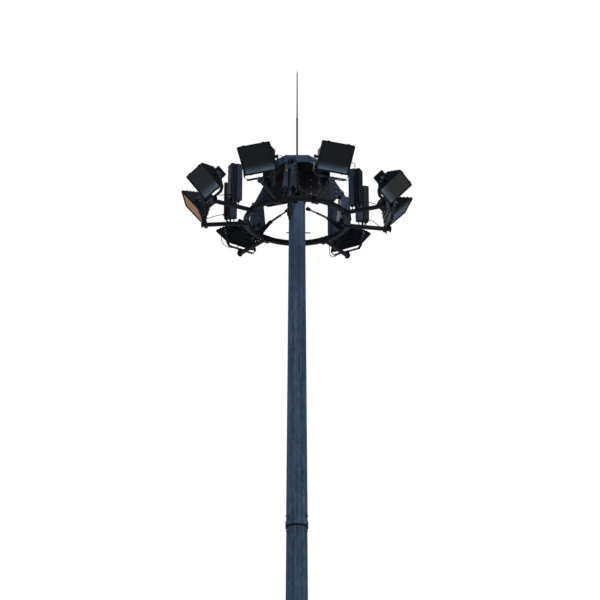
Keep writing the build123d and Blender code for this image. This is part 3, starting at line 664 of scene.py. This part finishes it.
carriage_paint, shader, place = finish("carriage paint", Metallic=0.0, Specular_IOR_Level=0.12)
cloud = noise(place, 7.0, 4.0)
fleck = noise(place, 90.0, 2.0)
colour = cloud.mixed(srgb(6, 8, 11), srgb(21, 26, 33))
colour = (fleck.stepped(0.64, 0.74) * 0.5).mixed(colour, srgb(58, 52, 48))
colour.feeds(shader, "Base Color")
(0.36 + cloud * 0.3).feeds(shader, "Roughness")
relief(cloud + fleck * 0.3, 0.0006, 0.35, shader)
clad(carriage_paint, "carriage_ring", "lamp_arms", "lamp_yokes", "guide_arm_1", "guide_arm_2", "guide_arm_3")

rim_zinc, shader, place = finish("scuffed zinc", Metallic=0.2, Specular_IOR_Level=0.3)
scuff = noise(place, 35.0, 4.0)
scuff.mixed(srgb(52, 62, 78), srgb(104, 118, 138)).feeds(shader, "Base Color")
(0.4 + scuff * 0.3).feeds(shader, "Roughness")
relief(scuff, 0.0006, 0.3, shader)

# rod hoops round the ring, with a saddle and nuts underneath, hold each arm; the arm's end has a rim and a
# bolt, and each side of the yoke has a dial and a locking bolt
CLAMP_R, CLAMP_ROD_R, YOKE_HALF = 0.063, 0.0055, 0.323
DOWNWARDS = (0, 0, -1)
lamp_joints = [joint for joint in frame["record"]["behaviour"]["joints"] if joint["name"].startswith("lamp")]
lamp_azimuths = [math.degrees(math.atan2(joint["pos_m"][0], -joint["pos_m"][1])) for joint in lamp_joints]
pivot_x, pivot_y, pivot_z = lamp_joints[0]["pos_m"]
pivot_r = math.hypot(pivot_x, pivot_y)
arm_end = pivot_r - 0.03
full_turn = np.linspace(0, 2 * math.pi, 33)[:-1]
saddle = block((0.085, 0.13, 0.012), (RING_R, 0, ring_z - 0.06), 0.003)
rim = [(0.047, -0.001), (0.056, -0.001), (0.057, 0.006), (0.054, 0.009), (0.051, 0.004), (0.047, 0.003)]
rim = turned(rim, 32, hollow=True)
dial = turned([(0.038, 0), (0.038, 0.003), (0.03, 0.004)], 32)
slot_bolt = turned([(0.012, 0), (0.012, 0.008), (0.008, 0.01)], 16)
clamps, fixings, rims, caps, dials = [], [], [], [], []
for azimuth in lamp_azimuths:
    for across in (-0.045, 0.045):
        hoop = [RING_R + CLAMP_R * np.cos(full_turn), 0 * full_turn + across]
        hoop.append(ring_z + CLAMP_R * np.sin(full_turn))
        clamps.append(round_mast(carried(np.stack(hoop, axis=-1), CLAMP_ROD_R, 8, closed=True), azimuth))
        for out in (-0.03, 0.03):
            at = (RING_R + out, across, ring_z - 0.058)
            fixings.append(mounted(hexagon(0.019, 0.013), azimuth, at, DOWNWARDS))
    clamps.append(round_mast(saddle, azimuth))
    rims.append(mounted(rim, azimuth, (arm_end, 0, ring_z), OUTWARDS))
    caps.append(mounted(hexagon(0.019, 0.013), azimuth, (arm_end + 0.001, 0, ring_z), OUTWARDS))
    for across in (-0.034, 0.034):
        for out in (pivot_r - 0.085, pivot_r - 0.055):
            fixings.append(mounted(hexagon(0.017, 0.012), azimuth, (out, across, ring_z + 0.07)))
    for side in (-1, 1):
        sideways, across = (0, side, 0), side * YOKE_HALF
        dials.append(mounted(dial, azimuth, (pivot_r, across, pivot_z), sideways))
        if side < 0:
            at = (pivot_r, across + side * 0.004, pivot_z)
            caps.append(mounted(hexagon(0.03, 0.02), azimuth, at, sideways))
        caps.append(mounted(slot_bolt, azimuth, (pivot_r - 0.03, across, pivot_z - 0.07), sideways))
piece("arm_clamps", clamps, carriage_paint, "carriage")
piece("arm_end_rims", rims, rim_zinc, "carriage")
piece("carriage_bolts", fixings, zinc, "carriage")
piece("arm_and_yoke_bolts", caps, rim_zinc, "carriage")
piece("aiming_dials", dials, zinc, "carriage")

# collars at the feet of the posts, and pins of the guide arms
PIVOT_PIN_OUT, PIVOT_PIN_UP = 0.6, 0.17
foot_collar = turned([(0.031, 0.06), (0.048, 0.06), (0.048, 0.068), (0.034, 0.072), (0.031, 0.085)], 24)
foot_collar = (foot_collar[0] + (RING_R, 0, ring_z), foot_collar[1])
feet = []
for azimuth in HEAD_AZIMUTHS:
    feet.append(round_mast(foot_collar, azimuth))
    for side in (-1, 1):
        at = (PIVOT_PIN_OUT, side * 0.027, ring_z + PIVOT_PIN_UP)
        feet.append(mounted(hexagon(0.022, 0.014), azimuth, at, (0, side, 0)))
piece("post_collars", feet, zinc, "carriage")

# the harness: two cables that sway a little along the ring's inner side, tied round its tube
HARNESS_R, TIE_R, TIE_THICK, TIES = 0.007, 0.0572, 0.0018, 24
sheath, shader, place = finish("black cable sheath", Specular_IOR_Level=0.18)
scuff = noise(place, 30.0, 3.0)
scuff.mixed(srgb(9, 9, 10), srgb(24, 24, 26)).feeds(shader, "Base Color")
(0.5 + scuff * 0.25).feeds(shader, "Roughness")
relief(scuff, 0.0004, 0.3, shader)
clad(sheath, "lamp_leads", "supply_plug")
round_ring = np.linspace(0, 2 * math.pi, 181)[:-1]
sway = 0.0015 * np.sin(round_ring * 24)
harness = []
for out, up in ((0.868, 0.036), (0.857, 0.018)):
    loom = [(out + sway) * np.cos(round_ring), (out + sway) * np.sin(round_ring), ring_z + up + sway]
    harness.append(carried(np.stack(loom, axis=-1), HARNESS_R, 8, closed=True))
tie = [0.9055 + TIE_R * np.cos(full_turn), 0 * full_turn, ring_z + 0.004 + TIE_R * np.sin(full_turn)]
tie = carried(np.stack(tie, axis=-1), TIE_THICK, 6, closed=True)
harness += [round_mast(tie, 360.0 / TIES * (k + 0.5)) for k in range(TIES)]
piece("ring_harness", harness, sheath, "carriage")

# a brown cable that arches from one place on top of the ring to another, with a socket at each end
brown, shader, place = finish("brown cable sheath", Roughness=0.6, Specular_IOR_Level=0.25)
scuff = noise(place, 30.0, 3.0)
scuff.mixed(srgb(34, 24, 20), srgb(62, 46, 38)).feeds(shader, "Base Color")
relief(scuff, 0.0004, 0.3, shader)
share = np.linspace(0, 1, 29)
along, arch_r = 0.06 + 0.34 * share, 0.93 - 0.018 * share
lift = ring_z + 0.042 + 0.006 * share + 0.5 * share * (1 - share) * (1.4 - share)
arch = np.stack([arch_r * np.cos(along), arch_r * np.sin(along), lift], axis=-1)
socket = turned([(0.012, -0.01), (0.015, -0.008), (0.015, 0.008), (0.011, 0.012)], 16)
parts = [carried(arch, 0.009, 10), aimed(socket, arch[0]), aimed(socket, arch[-1])]
parts = [round_mast(part, HEAD_AZIMUTHS[0]) for part in parts]
piece("crossing_cable", parts, brown, "carriage")

# grip rings on the supply plug that hangs under the ring
plug_angle = math.radians(HEAD_AZIMUTHS[0])
plug_at = (RING_R * math.sin(plug_angle), -RING_R * math.cos(plug_angle), ring_z)
sleeve = [(0.043, -0.155), (0.047, -0.152), (0.046, -0.14), (0.044, -0.138), (0.038, -0.082)]
sleeve = turned(sleeve + [(0.041, -0.078), (0.041, -0.062), (0.037, -0.06)], 28)
tail = turned([(0.012, -0.425), (0.024, -0.412), (0.026, -0.395), (0.02, -0.39)], 20)
plug_parts = [(points + plug_at, faces) for points, faces in (sleeve, tail)]
piece("plug_rings", plug_parts, sheath, "carriage")

# ---------------------------------------------------------------------------------------------
# The gear boxes
# A pressed cover in two halves on a lighter channel, one on the pegs of each lamp arm, with toggle
# latches down its sides, a knob on top and cable glands underneath.

box_paint, shader, place = finish("gear box paint", Metallic=0.0, Specular_IOR_Level=0.12)
cloud = noise(place, 6.0, 4.0)
streak = noise(place, 1.0, 4.0, 0.6, (40.0, 40.0, 3.0))
colour = cloud.mixed(srgb(7, 10, 14), srgb(19, 24, 32))
colour = (streak.stepped(0.55, 0.72) * 0.4).mixed(colour, srgb(34, 40, 50))
colour.feeds(shader, "Base Color")
(0.38 + cloud * 0.25).feeds(shader, "Roughness")
relief(cloud, 0.001, 0.25, shader)
clad(box_paint, "gear_boxes")

channel_sheet, shader, place = finish("channel sheet", Metallic=0.0, Specular_IOR_Level=0.18)
cloud = noise(place, 6.0, 4.0)
streak = noise(place, 1.0, 4.0, 0.6, (30.0, 30.0, 3.0))
colour = cloud.mixed(srgb(26, 34, 48), srgb(48, 60, 80))
colour = (streak.stepped(0.52, 0.7) * 0.6).mixed(colour, srgb(16, 20, 28))
colour.feeds(shader, "Base Color")
(0.45 + cloud * 0.25).feeds(shader, "Roughness")
relief(cloud, 0.001, 0.25, shader)
clad(channel_sheet, "gear_channels")

LATCH_IN, GLAND_IN, CABLE_R = 0.02, 0.028, 0.005
BOX_NEAR, BOX_FAR, RING_OUTSIDE = 0.075, 0.12, 0.9  # where a box's side walls are looked for
BOX_SIDE = 0.0825  # from a box's middle to its side wall
knob = turned([(0.012, 0), (0.012, 0.012), (0.018, 0.016), (0.019, 0.026), (0.014, 0.032)], 20)
gland = turned([(0.013, -0.028), (0.016, -0.026), (0.016, -0.006), (0.014, -0.004), (0.014, 0.002)], 12)
lead_nut = turned([(0.016, 0), (0.017, 0.003), (0.017, 0.012), (0.012, 0.016)], 12)
drop = np.linspace(0, 1, 12)
box_points = vertices(frame["nodes"]["gear_boxes"].data)
latches, glands = [], []
for azimuth in lamp_azimuths:
    # the side walls of the box at this azimuth give its place
    out, across = out_and_across(box_points, azimuth)
    here = (np.abs(across) < BOX_FAR) & (out > RING_OUTSIDE) & (np.abs(across) > BOX_NEAR)
    inner, outer = out[here].min(), out[here].max()
    low, high = box_points[here, 2].min(), box_points[here, 2].max()
    middle = (inner + outer) / 2
    for side in (-1, 1):
        for share in (0.22, 0.78):
            up = low + share * (high - low)
            strap = block((0.03, 0.006, 0.055), (inner + LATCH_IN, side * 0.0845, up), 0.002)
            lever = block((0.014, 0.012, 0.03), (inner + LATCH_IN, side * 0.0865, up + 0.004), 0.003)
            latches += [round_mast(strap, azimuth), round_mast(lever, azimuth)]
        for up in (low + 0.045, high - 0.03, (low + high) / 2 + 0.03, (low + high) / 2 - 0.03):
            at = (outer - 0.035, side * BOX_SIDE, up)
            latches.append(mounted(hexagon(0.011, 0.006), azimuth, at, (0, side, 0)))
    latches.append(mounted(knob, azimuth, (middle + 0.02, 0, high - 0.001)))
    for across in (-0.045, 0.0):
        glands.append(mounted(gland, azimuth, (outer - GLAND_IN, across, low)))
        line = [outer - GLAND_IN - 0.05 * drop**2, across * (1 - 0.5 * drop), low - 0.02 - 0.052 * drop]
        glands.append(round_mast(carried(np.stack(line, axis=-1), CABLE_R, 8), azimuth))
    glands.append(mounted(lead_nut, azimuth, (outer + 0.004, 0.045, ring_z + 0.162), OUTWARDS))
piece("box_latches", latches, box_paint, "carriage")
piece("box_glands", glands, sheath, "carriage")

# ---------------------------------------------------------------------------------------------
# The floodlights
# Die-cast ribbed housings with a toughened glass in a square frame, tilted down on two trunnions;
# behind the glass are a folded reflector and a discharge lamp.

casting, shader, place = finish("lamp casting", Specular_IOR_Level=0.12)
cloud = noise(place, 8.0, 4.0)
skin_grain = noise(place, 420.0, 2.0)
cloud.mixed(srgb(5, 8, 10), srgb(14, 20, 25)).feeds(shader, "Base Color")
(0.36 + cloud * 0.25).feeds(shader, "Roughness")
relief(cloud + skin_grain * 0.2, 0.0006, 0.35, shader)
clad(casting, *(f"lamp_{n}_housing" for n in range(1, 9)))

# a painted sheen along the lower edge of each pane makes it paler, rougher and less clear there
pane, shader, place = finish("lamp glass", Metallic=0.0, IOR=1.5, Specular_IOR_Level=0.17)
pane_place = Reading(pane.node_tree, pane.node_tree.nodes.new("ShaderNodeUVMap").outputs["UV"])
up_glass = pane_place.axis(1)
film = noise(place, 5.0, 5.0, 0.6)
painted_sheen = (1.0 - up_glass.stepped(0.02, 0.36)) * (0.65 + film * 0.7)
colour = film.mixed(srgb(6, 11, 14), srgb(15, 23, 28))
# painted sheen: a pale blue-white band along the pane's lower edge
colour = (painted_sheen * painted_sheen).mixed(colour, srgb(94, 114, 132))
colour.feeds(shader, "Base Color")
(0.07 + painted_sheen * 0.3).feeds(shader, "Roughness")
(0.93 + painted_sheen * 0.07).feeds(shader, "Alpha")

silver, shader, place = finish("reflector sheet", Metallic=0.9, Roughness=0.35)
dimple = place.node("TexVoronoi", None, {"Vector": place, "Scale": 60.0})
dimple.mixed(srgb(120, 124, 128), srgb(170, 174, 178)).feeds(shader, "Base Color")
relief(dimple, 0.002, 0.5, shader)
quartz, shader, place = finish("lamp bulb", Roughness=0.15)
noise(place, 50.0).mixed(srgb(150, 150, 145), srgb(190, 190, 184)).feeds(shader, "Base Color")
rubber, shader, place = finish("gasket rubber", Roughness=0.7, Specular_IOR_Level=0.2)
noise(place, 80.0).mixed(srgb(7, 7, 8), srgb(17, 17, 18)).feeds(shader, "Base Color")


def rounded(width, tall, radius):
    """A rectangle's outline, anticlockwise, with each corner a quarter circle of five points."""
    turn = np.linspace(0, math.pi / 2, 5)
    quarter = np.stack([np.cos(turn), np.sin(turn)], axis=-1) * radius
    corners = []
    for k, (x, y) in enumerate(((1, 1), (-1, 1), (-1, -1), (1, -1))):
        c, s = math.cos(k * math.pi / 2), math.sin(k * math.pi / 2)
        middle = (x * (width / 2 - radius), y * (tall / 2 - radius))
        corners.append(quarter @ np.array([(c, s), (-s, c)]) + middle)
    return np.concatenate(corners)


def frame_bar(outer, inner, low, high):
    """A flat ring between two outlines of as many points, from low to high: four rows joined into a loop."""
    return skin(stacked([(inner, low), (outer, low), (outer, high), (inner, high)]), hollow=True)


# what each floodlight carries, in its own axes: across, up the glass, and along its aim from the front
# frame's face, so the glass's front face is at -0.010
PANE_W, PANE_H, PANE_FRONT, PANE_THICK = 0.574, 0.494, -0.010, 0.005
pane_part = slab(rounded(PANE_W, PANE_H, 0.014), PANE_FRONT - PANE_THICK, PANE_FRONT, 0.0008)
gasket = frame_bar(rounded(0.572, 0.492, 0.014), rounded(0.548, 0.468, 0.012), -0.0098, -0.0072)
screw_head = turned([(0.0075, 0), (0.0075, 0.003), (0.005, 0.0045)], 12)
screw_places = [(x, side * 0.2515) for x in (-0.19, 0.0, 0.19) for side in (-1, 1)]
screw_places += [(side * 0.2915, y) for y in (-0.15, 0.0, 0.15) for side in (-1, 1)]
trims = [aimed(screw_head, (x, y, -0.0036)) for x, y in screw_places]
for x in (-1, 1):
    for y in (-1, 1):
        trims.append(block((0.024, 0.005, 0.04), (x * 0.183, y * 0.2705, -0.027), 0.002))
        trims.append(aimed(hexagon(0.01, 0.006), (x * 0.085, -0.06 + y * 0.085, -0.42), DOWNWARDS))

# the reflector: a sheet 2 mm thick with four slanting sides and a back, open to the front and swept down
# towards the back
SHEET_BOTH, BOWL_FRONT, SWEEP = 0.004, -0.018, 0.107
front_to_back = [(0.55, 0.47, BOWL_FRONT), (0.44, 0.34, -0.12), (0.30, 0.18, -0.2), (0.02, 0.01, -0.205)]
outside = [(w + SHEET_BOTH, h + SHEET_BOTH, z - 0.0015 * (z < -0.1)) for w, h, z in front_to_back[::-1]]
bowl = stacked([(rounded(w, h, min(w, h) * 0.12), z) for w, h, z in outside + front_to_back])
bowl[..., 1] += SWEEP * (bowl[..., 2] - BOWL_FRONT)
half_bulb = [(0.004, -0.13), (0.016, -0.12), (0.024, -0.08)]
bulb = turned(half_bulb + [(0.026, 0.0)] + [(r, -z) for r, z in half_bulb[::-1]], 16)
bulb = aimed(bulb, (0, -0.03, -0.12), OUTWARDS)

for number, azimuth in enumerate(lamp_azimuths, start=1):
    # the lamp's aim is the direction in which its glass is thinnest, and points away from the mast
    glass = vertices(frame["nodes"][f"lamp_{number}_glass"].data)
    centre = (glass.max(axis=0) + glass.min(axis=0)) / 2
    aim = np.linalg.svd(glass - glass.mean(axis=0))[2][2]
    a = math.radians(azimuth)
    aim *= np.sign(aim @ (math.sin(a), -math.cos(a), 0))
    across = np.array((math.cos(a), math.sin(a), 0))
    axes = np.array([across, np.cross(aim, across), aim])
    origin = centre + aim * (PANE_THICK / 2 - PANE_FRONT)

    def lamp_piece(kind, parts, material):
        """Joins parts made in the lamp's own axes into a piece that rides on it."""
        placed = [(points @ axes + origin, faces) for points, faces in parts]
        return piece(f"lamp_{number}_{kind}", placed, material, f"lamp_{number}")

    front = lamp_piece("pane", [pane_part], pane)
    flat = (vertices(front.data) - origin) @ axes.T
    uv = front.data.uv_layers.new(name="pane")
    corner_of = np.empty(len(front.data.loops), dtype=np.int64)
    front.data.loops.foreach_get("vertex_index", corner_of)
    shares = [flat[corner_of, 0] / PANE_W + 0.5, flat[corner_of, 1] / PANE_H + 0.5]
    uv.data.foreach_set("uv", np.column_stack(shares).ravel())
    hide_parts(f"lamp_{number}_glass")
    lamp_piece("gasket", [gasket], rubber)
    lamp_piece("trims", trims, casting)
    lamp_piece("reflector", [skin(bowl)], silver)
    lamp_piece("bulb", [bulb], quartz)

# ---------------------------------------------------------------------------------------------
# The guide arms
# Three sprung arms reach in from the ring and bear a rubber-tyred roller beside the tapered pole;
# a coil spring lies along each arm between two cups, and a nut closes each end of the axle.

TYRE_R, TYRE_HALF, COIL_R, COIL_WIRE, COILS = 0.0308, 0.0225, 0.019, 0.0032, 11
HUB_IN, HUB_UP, COIL_START, COIL_LONG = 0.03, 0.285, 0.06, 0.16
tread, shader, place = finish("roller tread", Roughness=0.75, Specular_IOR_Level=0.2)
noise(place, 60.0).mixed(srgb(12, 12, 13), srgb(30, 30, 31)).feeds(shader, "Base Color")
relief(noise(place, 200.0), 0.0006, 0.5, shader)
tyre = [(0.012, -TYRE_HALF), (0.0302, -TYRE_HALF), (TYRE_R, -0.02), (TYRE_R, 0.02), (0.0302, TYRE_HALF)]
tyre = turned(tyre + [(0.012, TYRE_HALF)], 28)
cup = turned([(0.022, 0), (0.024, 0.002), (0.024, 0.006), (0.022, 0.008)], 20)
aside = np.array([0.0, 1.0, 0.0])
coil_share = np.linspace(0, 1, 140)
coil_angle = coil_share * 2 * math.pi * COILS
for number, azimuth in enumerate(HEAD_AZIMUTHS, start=1):
    out, _ = out_and_across(vertices(frame["nodes"][f"guide_arm_{number}"].data), azimuth)
    hub = np.array([out.min() + HUB_IN, 0, ring_z + HUB_UP])
    pin = np.array([PIVOT_PIN_OUT, 0, ring_z + PIVOT_PIN_UP])
    way = (hub - pin) / np.linalg.norm(hub - pin)
    wheel = mounted(tyre, azimuth, hub, aside)
    piece(f"guide_{number}_tyre", [wheel], tread, f"guide_{number}")
    # the coil runs along the arm, and round it the cosine goes sideways and the sine across both
    round_arm = np.outer(np.cos(coil_angle), aside) + np.outer(np.sin(coil_angle), np.cross(way, aside))
    coil = pin + np.outer(COIL_START + coil_share * COIL_LONG, way) + COIL_R * round_arm
    cups = [aimed(cup, pin + way * along, way) for along in (0.05, 0.224)]
    nuts = [aimed(hexagon(0.018, 0.011), hub + aside * side * 0.033, aside * side) for side in (-1, 1)]
    parts = [round_mast(part, azimuth) for part in [carried(coil, COIL_WIRE, 6)] + cups + nuts]
    piece(f"guide_{number}_spring", parts, carriage_paint, f"guide_{number}")
